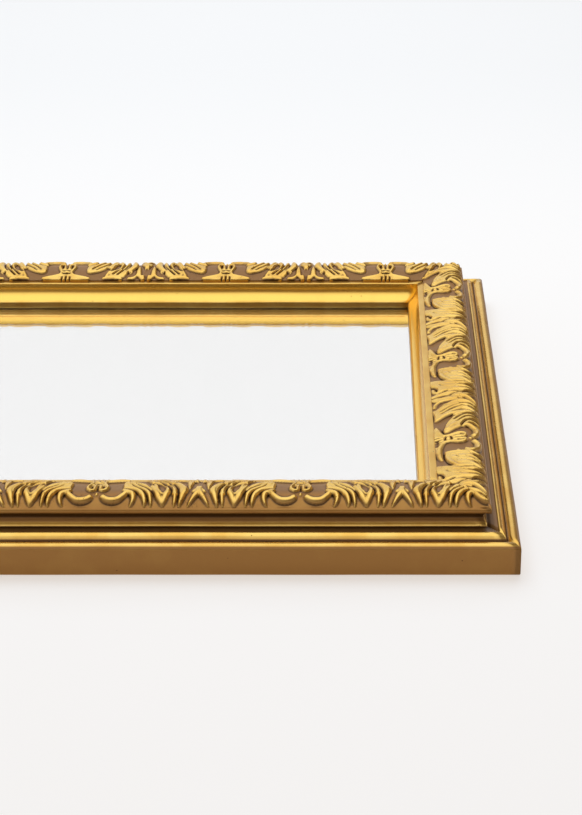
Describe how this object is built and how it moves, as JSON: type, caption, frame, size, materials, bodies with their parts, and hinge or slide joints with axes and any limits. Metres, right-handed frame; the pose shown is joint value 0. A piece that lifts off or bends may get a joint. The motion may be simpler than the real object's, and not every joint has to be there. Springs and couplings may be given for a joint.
{
  "type": "wall mirror",
  "caption": "Rectangular wall mirror in a mitred gilt ornamental frame, its glass held from behind by turn buttons, with ring hangers set in a recess in the back.",
  "frame": {"origin": "centre of the flat back, in the plane of the back", "axes": "+Z leaves the mirror's face, +X along the long side towards the end that is up in portrait hanging, +Y along the short side towards the edge that is up in landscape hanging"},
  "size_m": [0.5, 0.4, 0.0404],
  "materials": {
    "gilt_moulding": "gilded and toned, burnished edges",
    "gilt_ornament": "gilded pressed composition, toned ground",
    "clear_glass": "clear polished",
    "silver_coat": "silvered, painted behind",
    "grey_card": "plain grey card",
    "hardboard": "smooth pressed hardboard",
    "bright_steel": "cold rolled",
    "zinc_steel": "zinc plated"
  },
  "bodies": {
    "frame": {"front_rail": "gilt_moulding", "front_rail_ornament": "gilt_ornament", "front_rail_hanger_strap": "zinc_steel", "right_stile": "gilt_moulding", "right_stile_ornament": "gilt_ornament", "right_stile_hanger_strap": "zinc_steel", "back_rail": "gilt_moulding", "back_rail_ornament": "gilt_ornament", "back_rail_hanger_strap": "zinc_steel", "left_stile": "gilt_moulding", "left_stile_ornament": "gilt_ornament", "left_stile_hanger_strap": "zinc_steel", "mirror_glass": "clear_glass", "silver_coat": "silver_coat", "cushion_card": "grey_card", "backing_board": "hardboard", "corner_v_nails": "bright_steel", "hanger_screws": "zinc_steel", "turn_button_screws": "zinc_steel"},
    "front_rail_hanger_ring": {"front_rail_hanger_ring": "zinc_steel"},
    "back_rail_hanger_ring": {"back_rail_hanger_ring": "zinc_steel"},
    "right_stile_hanger_ring": {"right_stile_hanger_ring": "zinc_steel"},
    "left_stile_hanger_ring": {"left_stile_hanger_ring": "zinc_steel"},
    "front_rail_turn_button_1": {"front_rail_turn_button_1": "zinc_steel"},
    "front_rail_turn_button_2": {"front_rail_turn_button_2": "zinc_steel"},
    "back_rail_turn_button_1": {"back_rail_turn_button_1": "zinc_steel"},
    "back_rail_turn_button_2": {"back_rail_turn_button_2": "zinc_steel"},
    "right_stile_turn_button": {"right_stile_turn_button": "zinc_steel"},
    "left_stile_turn_button": {"left_stile_turn_button": "zinc_steel"}
  },
  "joints": [
    {"name": "front_rail_hanger_swing", "type": "hinge", "parent": "frame", "child": "front_rail_hanger_ring", "pos_m": [0.085, -0.1605, 0.00975], "axis": [0, 1, 0], "range_deg": [0, 170]},
    {"name": "back_rail_hanger_swing", "type": "hinge", "parent": "frame", "child": "back_rail_hanger_ring", "pos_m": [0.085, 0.1605, 0.00975], "axis": [0, 1, 0], "range_deg": [0, 170]},
    {"name": "right_stile_hanger_swing", "type": "hinge", "parent": "frame", "child": "right_stile_hanger_ring", "pos_m": [0.2105, 0.068, 0.00975], "axis": [-1, 0, 0], "range_deg": [0, 170]},
    {"name": "left_stile_hanger_swing", "type": "hinge", "parent": "frame", "child": "left_stile_hanger_ring", "pos_m": [-0.2105, 0.068, 0.00975], "axis": [-1, 0, 0], "range_deg": [0, 170]},
    {"name": "front_rail_button_turn_1", "type": "hinge", "parent": "frame", "child": "front_rail_turn_button_1", "pos_m": [-0.14, -0.1605, 0.01105], "axis": [0, 0, 1], "range_deg": [-90, 90]},
    {"name": "front_rail_button_turn_2", "type": "hinge", "parent": "frame", "child": "front_rail_turn_button_2", "pos_m": [0.14, -0.1605, 0.01105], "axis": [0, 0, 1], "range_deg": [-90, 90]},
    {"name": "back_rail_button_turn_1", "type": "hinge", "parent": "frame", "child": "back_rail_turn_button_1", "pos_m": [0.14, 0.1605, 0.01105], "axis": [0, 0, 1], "range_deg": [-90, 90]},
    {"name": "back_rail_button_turn_2", "type": "hinge", "parent": "frame", "child": "back_rail_turn_button_2", "pos_m": [-0.14, 0.1605, 0.01105], "axis": [0, 0, 1], "range_deg": [-90, 90]},
    {"name": "right_stile_button_turn", "type": "hinge", "parent": "frame", "child": "right_stile_turn_button", "pos_m": [0.2105, 0, 0.01105], "axis": [0, 0, 1], "range_deg": [-90, 90]},
    {"name": "left_stile_button_turn", "type": "hinge", "parent": "frame", "child": "left_stile_turn_button", "pos_m": [-0.2105, 0, 0.01105], "axis": [0, 0, 1], "range_deg": [-90, 90]}
  ]
}
